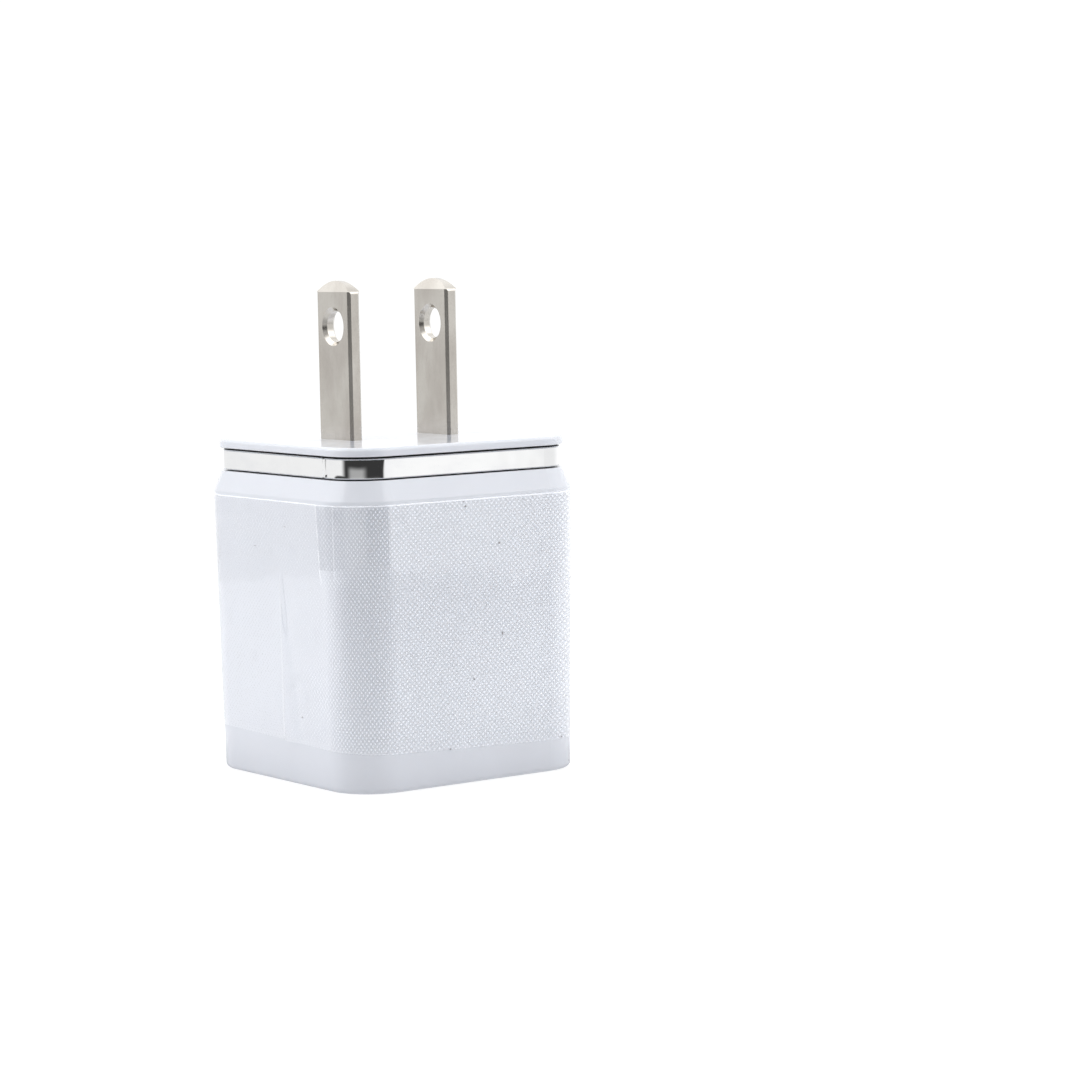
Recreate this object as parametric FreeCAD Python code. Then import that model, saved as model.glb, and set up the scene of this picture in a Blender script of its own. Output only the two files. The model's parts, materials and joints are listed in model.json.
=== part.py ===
"""A two-port USB wall charger with a fixed two-blade plug, built as separate pieces.

The charger stands on its USB face. The origin is the centre of that face, +Z points to the
plug blades, X is the direction from one blade to the other and Y is the direction from one
USB port to the other. All sizes are in millimetres.
"""

import FreeCAD, Part
import math
import os

V = FreeCAD.Vector

# ---- driving dimensions: body -------------------------------------------------------------
BASE_SIDE = 30.2          # square side of the shell at the USB face
SHOULDER_SIDE = 31.0      # square side at the shoulder, so the walls have moulding draft
NECK_SIDE = 29.2          # square side where the shell meets the trim ring
CORNER_R = 5.3
NECK_R = CORNER_R - (SHOULDER_SIDE - NECK_SIDE) / 2
SHOULDER_Z = 30.7
NECK_Z = 32.85
FACE_WALL = 1.5           # thickness of the wall that holds the USB openings
BASE_FILLET = 0.5
SHOULDER_FILLET = 0.25
CAVITY_SIDE = 26.4
CAVITY_R = 3.2
FIT_GAP = 0.1             # gap between two moulded pieces that slide together
TOUCH = 1e-4              # points closer than this are at the same level
OVERRUN = 0.2             # how far two solids run into each other where they are joined
SEAT_HEIGHT = 1.7         # low ribs on the inside of the face that locate the USB connector
SEAT_THICKNESS = 1.0

# ---- trim ring and rear cover -------------------------------------------------------------
RING_SIDE = 29.0
RING_R = 4.4
RING_LOWER_REVEAL = 0.15  # shadow gap between the shell and the ring's band
RING_UPPER_REVEAL = 0.22  # shadow gap between the ring's band and the cover plate
RING_LIP_SIDE = 27.7      # the hidden lip that the shell and the cover clamp
RING_EDGE = 0.12
COVER_Z = 35.35           # underside of the cover plate
PLATE_THICKNESS = 0.95
PLATE_Z = COVER_Z + PLATE_THICKNESS
PLATE_SIDE = 29.6
PLATE_R = 4.7
PLATE_TOP_FILLET = 0.45
PLATE_LOWER_FILLET = 0.15
SKIRT_SIDE = CAVITY_SIDE - 2 * FIT_GAP
SKIRT_WALL = 1.3
SKIRT_Z = 28.9            # lower edge of the skirt inside the shell
SNAP_Z = 29.8             # middle height of the snap beads
SNAP_LENGTH = 12.0
SNAP_HEIGHT = 0.6
SNAP_DEPTH = 0.3
SNAP_ROOT = 0.4           # how far a bead reaches back into the skirt

# ---- plug blades, in the sizes of the two-pole North American plug ------------------------
BLADE_SPACING = 12.7
BLADE_WIDTH = 6.35
BLADE_THICKNESS = 1.52
BLADE_LENGTH = 17.1       # what stands out of the cover
BLADE_TIP_Z = PLATE_Z + BLADE_LENGTH
BLADE_HOLE_R = 1.7
BLADE_HOLE_Z = PLATE_Z + 12.2
BLADE_HOLE_CHAMFER = 0.38
BLADE_EDGE = 0.3          # chamfer along the long edges
BLADE_TIP_RISE = 1.3      # how far the arched tip stands above its two corners
BLADE_TIP_CORNER_R = 0.5
BLADE_TIP_BEVEL = 1.2     # height of the bevel on each broad face
BLADE_TIP_THICKNESS = 0.6
TAIL_WIDTH = 4.2
TAIL_Z = 28.8             # inner end of the blade
TAIL_TOP_Z = 32.8
ANCHOR_NOTCH = 0.8        # how deep the notches are that lock the blade in the plastic
ANCHOR_NOTCH_HEIGHT = 1.2
BOSS_X = 4.3              # the block of plastic around each blade
BOSS_Y = 9.2
BOSS_Z = 31.2
WEB_HEIGHT = 2.2          # stiffening web between the two bosses
WEB_HALF_THICKNESS = 0.6
BLADE_CONTACT_SHEET = 0.3
BLADE_CONTACT_WIDTH = 2.0
BLADE_CONTACT_FOOT = 3.2  # how far the foot on the board reaches out from the blade

# ---- USB ports ----------------------------------------------------------------------------
PORT_PITCH = 9.1
PORT_WIDTH = 12.5         # inside of the metal shell
PORT_HEIGHT = 5.12
FACE_OPENING_WIDTH = 12.6
FACE_OPENING_HEIGHT = 5.22
FACE_OPENING_R = 0.4
SHEET = 0.3               # thickness of the connector's sheet metal
CONNECTOR_Z = FACE_WALL + FIT_GAP
CONNECTOR_DEPTH = 12.0
CONNECTOR_BACK_Z = CONNECTOR_Z + CONNECTOR_DEPTH
TONGUE_WIDTH = 11.1
TONGUE_THICKNESS = 1.84
TONGUE_Z = 2.9            # front end of the tongue
TONGUE_CHAMFER = 0.3
BLOCK_Z = 11.1            # front of the block that carries the tongues
CONTACT_X = (-3.5, -1.0, 1.0, 3.5)
CONTACT_WIDTH = 1.0
CONTACT_SHEET = 0.25
GROOVE_WIDTH = 1.3
GROOVE_DEPTH = 1.25
LEAF_X = (-3.2, 3.2)
LEAF_WIDTH = 2.0
LEAF_ROOT_Z = 3.4
LEAF_END_Z = 9.2
LEAF_BOW = 0.42           # how far a retention leaf stands into the port
LEAF_GAP = 0.12
LEAF_FOOT = 0.5           # straight stretch at a leaf's root
LEAF_CREST_Z = (LEAF_ROOT_Z + 3.4, LEAF_ROOT_Z + 4.2)
ARM_BEND = 1.3            # length of a contact arm's straight root
ARM_TIP_Z = 3.9
ARM_CREST_Z, ARM_CREST = 5.6, -0.45    # where an arm bows out of its groove to touch the plug
PIN_ROWS_Z = (11.75, 12.75)
PIN_WIDTH = 0.6
PIN_SHEET = 0.3
PIN_LEVEL = 0.45          # depth of a contact's root below the tongue's contact side
FOOT_HALF_X = 5.8         # half width of the insulator's foot on the board
TAB_Z = (4.6, 9.8)        # the can's four board tabs stand at these heights, on both sides
TAB_HALF_WIDTH = 0.9

# ---- main board ---------------------------------------------------------------------------
CONNECTOR_HALF_Y = PORT_PITCH / 2 + PORT_HEIGHT / 2 + SHEET
BOARD_TOP_Y = -(CONNECTOR_HALF_Y + 0.54)
BOARD_THICKNESS = 1.2
BOARD_LOW_Y = BOARD_TOP_Y - BOARD_THICKNESS
BOARD_HALF_X = 12.6
BOARD_NECK_HALF_X = 11.4
BOARD_Z = 2.2
BOARD_NECK_Z = 28.4
BOARD_END_Z = 31.0
PIN_END_Y = BOARD_LOW_Y - 0.9
HOLE_GAP = 0.1
RAIL_THICKNESS = 0.9
RAIL_REACH = 1.1

# ---- transformer and capacitors -----------------------------------------------------------
CORE_X = -4.6             # middle of the transformer
CORE_Y = -0.9
CORE_Z = 21.3
CORE_WIDTH = 13.2
CORE_DEPTH = 6.0
CORE_HALF_HEIGHT = 6.1
CORE_BACK = 1.4
CORE_OUTER_LEG = 1.5
CORE_CENTRE_LEG = 2.9
CORE_AIR_GAP = 0.04
BOBBIN_WALL = 0.6
BOBBIN_GAP = 0.08         # between the bobbin and the core
BOBBIN_FLANGE = 0.3       # how far the flanges stand out past the winding
RAIL_HALF_X = 6.0         # half length of the bobbin's pin rails
WINDING_BUILD = 2.3       # thickness of the copper around the bobbin's tube
WINDING_R = 1.6
TAPE_THICKNESS = 0.15
CORE_TAPE_WIDTH = 4.4
TRANSFORMER_PIN_R = 0.3
TRANSFORMER_PIN_PITCH = 3.2
TRANSFORMER_PIN_DEPTH = 1.6
INPUT_CAP_R = 4.0
INPUT_CAP_HEIGHT = 11.0
INPUT_CAP_X, INPUT_CAP_Z = 7.9, 24.5
INPUT_CAP_LEADS = 3.5
OUTPUT_CAP_R = 3.15
OUTPUT_CAP_HEIGHT = 11.0
OUTPUT_CAP_X, OUTPUT_CAP_Z = 8.0, 17.2
OUTPUT_CAP_LEADS = 2.5
SLEEVE = 0.15
CAP_STANDOFF = 0.1
CAP_LEAD_R = 0.28
CAP_SEAL = 0.2            # depth of the can's seal, and of its closed end, inside the sleeve
CAP_ROLL_R = 0.4
CAP_GROOVE_HEIGHT, CAP_GROOVE_R, CAP_GROOVE_DEPTH = 1.6, 0.45, 0.3
SLEEVE_ROLL_R = 0.3
SLEEVE_WINDOW = 1.0       # width of the rim that the sleeve leaves at the can's top
SLEEVE_HEM = 0.8          # width of the rim at its foot

# ---- parts on the solder side of the board ------------------------------------------------
CHIP_STANDOFF = 0.1
PACKAGE_EDGE = 0.15
LEG_SHEET = 0.16
LEG_WIDTH = 0.4
LEG_DROP = 0.75           # from the board down to where a leg leaves its package
LEG_REACH = 0.9           # from the package out to the end of the leg's foot
BRIDGE = {"x": 7.9, "z": 28.2, "size_x": 3.9, "size_z": 4.7, "height": 2.3}
BRIDGE_LEGS = {"count": 2, "pitch": 2.5}
CONTROLLER = {"x": -6.3, "z": 21.6, "size_x": 3.9, "size_z": 4.9, "height": 1.4}
CONTROLLER_LEGS = {"count": 4, "pitch": 1.27}
DIODE = {"x": 4.1, "z": 20.3, "size_x": 4.0, "size_z": 2.6, "height": 2.1}
DIODE_LEGS = {"count": 1, "pitch": 0}
CHIP_SIZE_X, CHIP_SIZE_Z, CHIP_HEIGHT, CHIP_EDGE = 1.6, 0.8, 0.5, 0.05
CHIP_PLACES = ((-2.0, 23.0), (-2.0, 20.8), (-2.0, 18.6), (1.4, 22.8), (1.4, 25.0), (-10.8, 20.4), (-10.8, 22.6),
               (9.4, 20.0), (9.4, 22.0), (0.0, 6.0), (2.6, 6.0), (-2.6, 6.0), (-9.6, 8.0), (-9.6, 5.8))
SAFETY_CAP_X, SAFETY_CAP_Z = -7.6, 14.3
SAFETY_CAP_R, SAFETY_CAP_THICKNESS, SAFETY_CAP_LEADS = 3.4, 2.2, 5.2
SAFETY_CAP_ROUND = 0.45   # radius of its rounded rim, as a share of its thickness
RESISTOR_X, RESISTOR_Z = -1.4, 29.4
RESISTOR_LENGTH, RESISTOR_R, RESISTOR_LEAD_R = 6.4, 1.0, 0.3
RESISTOR_WAIST, RESISTOR_WAIST_R = 1.6, 0.75    # the torus that hollows its middle
RESISTOR_LEAD_RUN = 1.4
SOLDER_MARGIN = 0.3       # how far a solder joint spreads around its lead
SOLDER_HEIGHT = 0.6
SHEET_HALF_X = 10.0
SHEET_THICKNESS = 0.2

# ---- protective film ----------------------------------------------------------------------
FILM_GAP = 0.02
FILM_THICKNESS = 0.12
FILM_TOP_Z = SHOULDER_Z - 0.35
FILM_EDGE_Z = 4.15        # height of the film's lower edge on the charger's axis
FILM_EDGE_SLOPE_X = -1.0 / 30
FILM_EDGE_SLOPE_Y = 0.7 / 30


# ---- helpers ------------------------------------------------------------------------------
def block(x0, x1, y0, y1, z0, z1):
    """An upright box between two corners, given in any order."""
    low = V(min(x0, x1), min(y0, y1), min(z0, z1))
    return Part.makeBox(abs(x1 - x0), abs(y1 - y0), abs(z1 - z0), low)


def rounded_wire(width_x, width_y, radius, z, centre=(0, 0)):
    """A rectangle with round corners, level at height z."""
    cx, cy = centre
    hx, hy = width_x / 2 - radius, width_y / 2 - radius
    edges = []
    corners = ((hx, hy, 0), (-hx, hy, 90), (-hx, -hy, 180), (hx, -hy, 270))
    points = []
    for x, y, start in corners:
        arc = [V(cx + x + radius * math.cos(math.radians(start + a)),
                 cy + y + radius * math.sin(math.radians(start + a)), z) for a in (0, 45, 90)]
        points.append(arc)
    for i, arc in enumerate(points):
        edges.append(Part.Arc(*arc).toShape())
        edges.append(Part.LineSegment(arc[2], points[(i + 1) % 4][0]).toShape())
    return Part.Wire(edges)


def rounded_prism(width_x, width_y, radius, z0, z1, centre=(0, 0)):
    """An upright prism whose outline is a rectangle with round corners."""
    face = Part.Face(rounded_wire(width_x, width_y, radius, z0, centre))
    return face.extrude(V(0, 0, z1 - z0))


def plate_from(points, direction):
    """A closed outline of straight runs, extruded along a vector."""
    wire = Part.makePolygon([V(*p) for p in points] + [V(*points[0])])
    return Part.Face(wire).extrude(V(*direction))


def strip(path, thickness, to_point, direction):
    """Bent sheet metal: a middle line of (u, v) points, mitred to a thickness and extruded.

    to_point turns (u, v) into a point in space.
    """
    left, right = [], []
    for i, (u, v) in enumerate(path):
        before = path[max(i - 1, 0)]
        after = path[min(i + 1, len(path) - 1)]
        a = math.atan2(v - before[1], u - before[0]) if i else None
        b = math.atan2(after[1] - v, after[0] - u) if i < len(path) - 1 else None
        a = b if a is None else a
        b = a if b is None else b
        middle = (a + b) / 2
        half = thickness / 2 / math.cos((b - a) / 2)
        du, dv = -half * math.sin(middle), half * math.cos(middle)
        left.append((u + du, v + dv))
        right.append((u - du, v - dv))
    outline = [to_point(u, v) for u, v in left + right[::-1]]
    return plate_from(outline, direction)


def joined(shapes):
    """One solid from several that touch or overlap."""
    return shapes[0].fuse(shapes[1:]).removeSplitter()


def group(shapes):
    """Several separate solids in one node."""
    return Part.makeCompound(shapes)


def edges_at(shape, axis, level):
    """The edges whose every vertex lies at one level along an axis, "y" or "z"."""
    return [e for e in shape.Edges if all(abs(getattr(v.Point, axis) - level) < TOUCH for v in e.Vertexes)]


def round_edges(shape):
    """The edges that are whole circles."""
    return [e for e in shape.Edges if len(e.Vertexes) == 1]


# ---- casing -------------------------------------------------------------------------------
def body_loft(extra, with_neck=True):
    """The drafted body, grown outwards by extra on each side."""
    sections = [
        rounded_wire(BASE_SIDE + 2 * extra, BASE_SIDE + 2 * extra, CORNER_R + extra, 0),
        rounded_wire(SHOULDER_SIDE + 2 * extra, SHOULDER_SIDE + 2 * extra, CORNER_R + extra, SHOULDER_Z),
    ]
    if with_neck:
        sections.append(rounded_wire(NECK_SIDE, NECK_SIDE, NECK_R, NECK_Z))
    return Part.makeLoft(sections, True, True)


def snap_bar(depth, height, length):
    """A bar on the +X side of the skirt: a bead, or the groove that takes it."""
    outer = SKIRT_SIDE / 2
    inner = outer - SNAP_ROOT
    profile = [
        (inner, -length / 2, SNAP_Z - height / 2 - depth),
        (outer, -length / 2, SNAP_Z - height / 2 - depth),
        (outer + depth, -length / 2, SNAP_Z - height / 2),
        (outer + depth, -length / 2, SNAP_Z + height / 2),
        (outer, -length / 2, SNAP_Z + height / 2),
        (inner, -length / 2, SNAP_Z + height / 2),
    ]
    return plate_from(profile, (0, length, 0))


def quarter_turns(shape):
    """A shape and its copies on the other three sides."""
    copies = []
    for i in range(4):
        copy = shape.copy()
        copy.rotate(V(0, 0, 0), V(0, 0, 1), 90 * i)
        copies.append(copy)
    return copies


def main_shell():
    """The five-sided casing: drafted walls, the shoulder, and the face with two USB openings."""
    outer = body_loft(0)
    outer = outer.makeFillet(SHOULDER_FILLET, edges_at(outer, "z", SHOULDER_Z))
    outer = outer.makeFillet(BASE_FILLET, edges_at(outer, "z", 0))
    shell = outer.cut(rounded_prism(CAVITY_SIDE, CAVITY_SIDE, CAVITY_R, FACE_WALL, NECK_Z + 1))
    for side in (-1, 1):
        shell = shell.cut(rounded_prism(FACE_OPENING_WIDTH, FACE_OPENING_HEIGHT, FACE_OPENING_R,
                                        -1, FACE_WALL + 1, (0, side * PORT_PITCH / 2)))
    groove = snap_bar(SNAP_DEPTH + FIT_GAP, SNAP_HEIGHT + 2 * FIT_GAP, SNAP_LENGTH + 4 * FIT_GAP)
    shell = shell.cut(quarter_turns(groove))
    return joined([shell] + board_rails() + connector_seat())


def board_rails():
    """Ribs on two inner walls that hold the main board by its edges."""
    rails = []
    wall = CAVITY_SIDE / 2
    for side in (-1, 1):
        for y0, y1 in ((BOARD_TOP_Y + FIT_GAP, BOARD_TOP_Y + FIT_GAP + RAIL_THICKNESS),
                       (BOARD_LOW_Y - FIT_GAP - RAIL_THICKNESS, BOARD_LOW_Y - FIT_GAP)):
            rails.append(block(side * (wall - RAIL_REACH), side * (wall + OVERRUN), y0, y1,
                               FACE_WALL - OVERRUN, BOARD_NECK_Z))
    return rails


def connector_seat():
    """Three low ribs on the inside of the face, beside and above the USB connector."""
    x, y = PORT_WIDTH / 2 + SHEET + FIT_GAP, CONNECTOR_HALF_Y + FIT_GAP
    low, high = FACE_WALL - OVERRUN, FACE_WALL + SEAT_HEIGHT
    ribs = [block(side * x, side * (x + SEAT_THICKNESS), -PORT_PITCH / 2, PORT_PITCH / 2, low, high)
            for side in (-1, 1)]
    ribs.append(block(-PORT_WIDTH / 3, PORT_WIDTH / 3, y, y + SEAT_THICKNESS, low, high))
    return ribs


def trim_ring():
    """The bright band between the shell and the rear cover, with a hidden lip that is clamped."""
    band_low, band_high = NECK_Z + RING_LOWER_REVEAL, COVER_Z - RING_UPPER_REVEAL
    band = rounded_prism(RING_SIDE, RING_SIDE, RING_R, band_low, band_high)
    band = band.makeChamfer(RING_EDGE, edges_at(band, "z", band_low))
    band = band.makeChamfer(RING_EDGE, edges_at(band, "z", band_high))
    lip_r = RING_R - (RING_SIDE - RING_LIP_SIDE) / 2
    lip = rounded_prism(RING_LIP_SIDE, RING_LIP_SIDE, lip_r, NECK_Z, COVER_Z)
    hole = rounded_prism(CAVITY_SIDE, CAVITY_SIDE, CAVITY_R, NECK_Z - 1, COVER_Z + 1)
    return joined([band, lip]).cut(hole)


def rear_cover(blades):
    """The plate that meets the wall socket, its skirt with snap beads, and the blade bosses."""
    plate = rounded_prism(PLATE_SIDE, PLATE_SIDE, PLATE_R, COVER_Z, PLATE_Z)
    plate = plate.makeFillet(PLATE_TOP_FILLET, edges_at(plate, "z", PLATE_Z))
    plate = plate.makeFillet(PLATE_LOWER_FILLET, edges_at(plate, "z", COVER_Z))
    skirt_r = CAVITY_R - FIT_GAP
    skirt = rounded_prism(SKIRT_SIDE, SKIRT_SIDE, skirt_r, SKIRT_Z, COVER_Z + OVERRUN)
    inner_side = SKIRT_SIDE - 2 * SKIRT_WALL
    skirt = skirt.cut(rounded_prism(inner_side, inner_side, skirt_r - SKIRT_WALL, SKIRT_Z - 1, COVER_Z))
    bosses = [block(x - BOSS_X / 2, x + BOSS_X / 2, -BOSS_Y / 2, BOSS_Y / 2, BOSS_Z, COVER_Z + OVERRUN)
              for x in (-BLADE_SPACING / 2, BLADE_SPACING / 2)]
    web = block(-BLADE_SPACING / 2, BLADE_SPACING / 2, -WEB_HALF_THICKNESS, WEB_HALF_THICKNESS,
                COVER_Z - WEB_HEIGHT, COVER_Z + OVERRUN)
    beads = quarter_turns(snap_bar(SNAP_DEPTH, SNAP_HEIGHT, SNAP_LENGTH))
    return joined([plate, skirt, web] + bosses + beads).cut(blades)


def protective_film():
    """The clear film around the shell, cut a little askew at its lower edge."""
    sleeve = body_loft(FILM_GAP + FILM_THICKNESS, False).cut(body_loft(FILM_GAP, False))
    reach = SHOULDER_SIDE
    corners = [(-reach, -reach), (reach, -reach), (reach, reach), (-reach, reach)]
    edge = [(x, y, FILM_EDGE_Z + FILM_EDGE_SLOPE_X * x + FILM_EDGE_SLOPE_Y * y) for x, y in corners]
    below = plate_from(edge, (0, 0, -2 * FILM_EDGE_Z - reach))
    above = block(-reach, reach, -reach, reach, FILM_TOP_Z, SHOULDER_Z + 1)
    return sleeve.cut([below, above])


# ---- plug blades --------------------------------------------------------------------------
def blade(x):
    """One flat blade: arched and bevelled tip, chamfered edges, a round hole and an anchored tail."""
    half_w, half_t = BLADE_WIDTH / 2, BLADE_THICKNESS / 2
    arch_z = BLADE_TIP_Z - BLADE_TIP_RISE
    outline = Part.Wire([
        Part.LineSegment(V(-half_t, half_w, TAIL_TOP_Z), V(-half_t, -half_w, TAIL_TOP_Z)).toShape(),
        Part.LineSegment(V(-half_t, -half_w, TAIL_TOP_Z), V(-half_t, -half_w, arch_z)).toShape(),
        Part.Arc(V(-half_t, -half_w, arch_z), V(-half_t, 0, BLADE_TIP_Z), V(-half_t, half_w, arch_z)).toShape(),
        Part.LineSegment(V(-half_t, half_w, arch_z), V(-half_t, half_w, TAIL_TOP_Z)).toShape(),
    ])
    body = Part.Face(outline).extrude(V(BLADE_THICKNESS, 0, 0))
    corners = [e for e in edges_at(body, "z", arch_z) if e.Length < BLADE_THICKNESS + TOUCH]
    body = body.makeFillet(BLADE_TIP_CORNER_R, corners)
    bevel_z = BLADE_TIP_Z - BLADE_TIP_BEVEL
    tip_half = BLADE_TIP_THICKNESS / 2
    half_profile = [(half_t, TAIL_TOP_Z), (half_t, bevel_z), (tip_half, BLADE_TIP_Z)]
    profile = half_profile + [(-x_, z_) for x_, z_ in reversed(half_profile)]
    body = body.common(plate_from([(x_, -half_w, z_) for x_, z_ in profile], (0, BLADE_WIDTH, 0)))
    for sx in (-1, 1):
        for sy in (-1, 1):
            cx, cy = sx * half_t, sy * half_w
            corner = [(cx, cy, PLATE_Z), (cx - sx * BLADE_EDGE, cy, PLATE_Z),
                      (cx, cy - sy * BLADE_EDGE, PLATE_Z)]
            body = body.cut(plate_from(corner, (0, 0, bevel_z - PLATE_Z)))
    notch_z = (TAIL_TOP_Z + COVER_Z) / 2
    for sy in (-1, 1):
        body = body.cut(block(-half_t, half_t, sy * (half_w - ANCHOR_NOTCH), sy * half_w,
                              notch_z - ANCHOR_NOTCH_HEIGHT / 2, notch_z + ANCHOR_NOTCH_HEIGHT / 2))
    tail = block(-half_t, half_t, -TAIL_WIDTH / 2, TAIL_WIDTH / 2, TAIL_Z, TAIL_TOP_Z)
    body = joined([body, tail])
    body = body.cut(Part.makeCylinder(BLADE_HOLE_R, BLADE_THICKNESS, V(-half_t, 0, BLADE_HOLE_Z), V(1, 0, 0)))
    for sx in (-1, 1):
        rim = Part.makeCone(BLADE_HOLE_R + BLADE_HOLE_CHAMFER, BLADE_HOLE_R, BLADE_HOLE_CHAMFER,
                            V(sx * half_t, 0, BLADE_HOLE_Z), V(-sx, 0, 0))
        body = body.cut(rim)
    body.translate(V(x, 0, 0))
    return body


def blade_contact(side):
    """The bronze spring that stands on the board and presses on a blade's tail."""
    tail_face = BLADE_SPACING / 2 + BLADE_THICKNESS / 2
    touch = tail_face + BLADE_CONTACT_SHEET / 2
    foot = BOARD_TOP_Y + BLADE_CONTACT_SHEET / 2
    path = [(tail_face + BLADE_CONTACT_FOOT, foot), (tail_face + 1.5, foot), (tail_face + 1.15, foot + 0.35),
            (tail_face + 1.0, foot + 2.0), (touch + 0.1, -0.9), (touch, -0.3), (touch, 0.3), (touch + 0.5, 1.9)]
    return strip(path, BLADE_CONTACT_SHEET, lambda u, v: (side * u, v, TAIL_Z), (0, 0, BLADE_CONTACT_WIDTH))


# ---- USB connector ------------------------------------------------------------------------
def port_y(port):
    """Middle of port 1, beside the board, or of port 2."""
    return (-1 if port == 1 else 1) * PORT_PITCH / 2


def wall_y(port, outer):
    """Middle of the sheet on a port's outer or inner side, and the way out of the port."""
    away = (-1 if port == 1 else 1) * (1 if outer else -1)
    return port_y(port) + away * (PORT_HEIGHT + SHEET) / 2, away


def retention_leaves(port, outer):
    """Two sprung leaves that bow into a port and hold the plug."""
    y, away = wall_y(port, outer)
    path = [(LEAF_ROOT_Z, 0), (LEAF_ROOT_Z + LEAF_FOOT, 0), (LEAF_CREST_Z[0], LEAF_BOW),
            (LEAF_CREST_Z[1], LEAF_BOW), (LEAF_END_Z, LEAF_GAP)]
    across = (LEAF_WIDTH, 0, 0)
    return [strip(path, SHEET, lambda u, v, left=x - LEAF_WIDTH / 2: (left, y - away * v, u), across)
            for x in LEAF_X]


def leaf_windows(port, outer):
    """The openings in the sheet around the retention leaves."""
    y, _ = wall_y(port, outer)
    return [block(x - LEAF_WIDTH / 2 - LEAF_GAP, x + LEAF_WIDTH / 2 + LEAF_GAP, y - SHEET, y + SHEET,
                  LEAF_ROOT_Z - LEAF_GAP, LEAF_END_Z + LEAF_GAP) for x in LEAF_X]


def connector_can():
    """The folded metal can around both ports, with windows for the leaves and four board tabs."""
    half_x, half_y = PORT_WIDTH / 2 + SHEET, CONNECTOR_HALF_Y
    can = block(-half_x, half_x, -half_y, half_y, CONNECTOR_Z, CONNECTOR_BACK_Z)
    can = can.cut(block(-half_x + SHEET, half_x - SHEET, -half_y + SHEET, half_y - SHEET,
                        CONNECTOR_Z - 1, CONNECTOR_BACK_Z - SHEET))
    foot_gap = FOOT_HALF_X + FIT_GAP
    can = can.cut(block(-foot_gap, foot_gap, -half_y - SHEET, -half_y + SHEET, BLOCK_Z, CONNECTOR_BACK_Z + 1))
    can = can.cut(leaf_windows(1, True) + leaf_windows(2, True))
    tabs = [block(side * half_x, side * (half_x - SHEET), -half_y + SHEET, PIN_END_Y,
                  z - TAB_HALF_WIDTH, z + TAB_HALF_WIDTH) for side in (-1, 1) for z in TAB_Z]
    return joined([can] + tabs)


def connector_divider():
    """The folded channel that forms the inner walls of both ports."""
    half_x, face = PORT_WIDTH / 2, PORT_PITCH / 2 - PORT_HEIGHT / 2
    outer = block(-half_x, half_x, -face, face, CONNECTOR_Z, BLOCK_Z)
    channel = outer.cut(block(-half_x, half_x, -face + SHEET, face - SHEET, CONNECTOR_Z + SHEET, BLOCK_Z))
    return channel.cut(leaf_windows(1, False) + leaf_windows(2, False))


def connector_insulator(pins):
    """The white plastic block with one tongue in each port and grooves for the contacts."""
    half_x, half_y = PORT_WIDTH / 2, CONNECTOR_HALF_Y - SHEET - FIT_GAP / 2
    back = CONNECTOR_BACK_Z - SHEET - FIT_GAP / 2
    pieces = [block(-half_x, half_x, -half_y, half_y, BLOCK_Z, back),
              block(-FOOT_HALF_X, FOOT_HALF_X, BOARD_TOP_Y, -half_y, BLOCK_Z + FIT_GAP, back)]
    cuts = []
    for port in (1, 2):
        y = port_y(port)
        tongue = block(-TONGUE_WIDTH / 2, TONGUE_WIDTH / 2, y, y + TONGUE_THICKNESS, TONGUE_Z, BLOCK_Z)
        front = edges_at(tongue, "z", TONGUE_Z)
        pieces.append(tongue.makeChamfer(TONGUE_CHAMFER, front))
        cuts += [block(x - GROOVE_WIDTH / 2, x + GROOVE_WIDTH / 2, y, y + GROOVE_DEPTH,
                       TONGUE_Z + 2 * TONGUE_CHAMFER, BLOCK_Z + FIT_GAP) for x in CONTACT_X]
    return joined(pieces).cut(cuts).cut(pins)


def contact_arms(port):
    """The four sprung contact arms on a port's tongue."""
    y = port_y(port)
    path = [(BLOCK_Z - FIT_GAP, PIN_LEVEL), (BLOCK_Z - ARM_BEND, PIN_LEVEL - 0.1), (ARM_CREST_Z + 0.8, -0.30),
            (ARM_CREST_Z, ARM_CREST), (ARM_CREST_Z - 0.6, -0.40), (ARM_TIP_Z, 0.2)]
    across = (CONTACT_WIDTH, 0, 0)
    return [strip(path, CONTACT_SHEET, lambda u, v, left=x - CONTACT_WIDTH / 2: (left, y + v, u), across)
            for x in CONTACT_X]


def contact_pins(port):
    """The fixed ends of the contacts: out of the tongue, down through the board."""
    y = port_y(port) + PIN_LEVEL
    row = PIN_ROWS_Z[port - 1]
    pins = []
    for x in CONTACT_X:
        run = block(x - PIN_WIDTH / 2, x + PIN_WIDTH / 2, y - CONTACT_SHEET / 2, y + CONTACT_SHEET / 2,
                    BLOCK_Z + FIT_GAP, row)
        drop = block(x - PIN_WIDTH / 2, x + PIN_WIDTH / 2, y + CONTACT_SHEET / 2, PIN_END_Y,
                     row - PIN_SHEET / 2, row + PIN_SHEET / 2)
        pins.append(joined([run, drop]))
    return pins


# ---- transformer --------------------------------------------------------------------------
def core_half(upper):
    """One E of the ferrite core. The two meet at the middle of the transformer."""
    way = 1 if upper else -1
    mating = CORE_Z + way * CORE_AIR_GAP / 2
    back = CORE_Z + way * CORE_HALF_HEIGHT
    y0, y1 = CORE_Y - CORE_DEPTH / 2, CORE_Y + CORE_DEPTH / 2
    x0, x1 = CORE_X - CORE_WIDTH / 2, CORE_X + CORE_WIDTH / 2
    return joined([
        block(x0, x1, y0, y1, back - way * CORE_BACK, back),
        block(x0, x0 + CORE_OUTER_LEG, y0, y1, mating, back),
        block(x1 - CORE_OUTER_LEG, x1, y0, y1, mating, back),
        block(CORE_X - CORE_CENTRE_LEG / 2, CORE_X + CORE_CENTRE_LEG / 2, y0, y1, mating, back),
    ])


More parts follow.
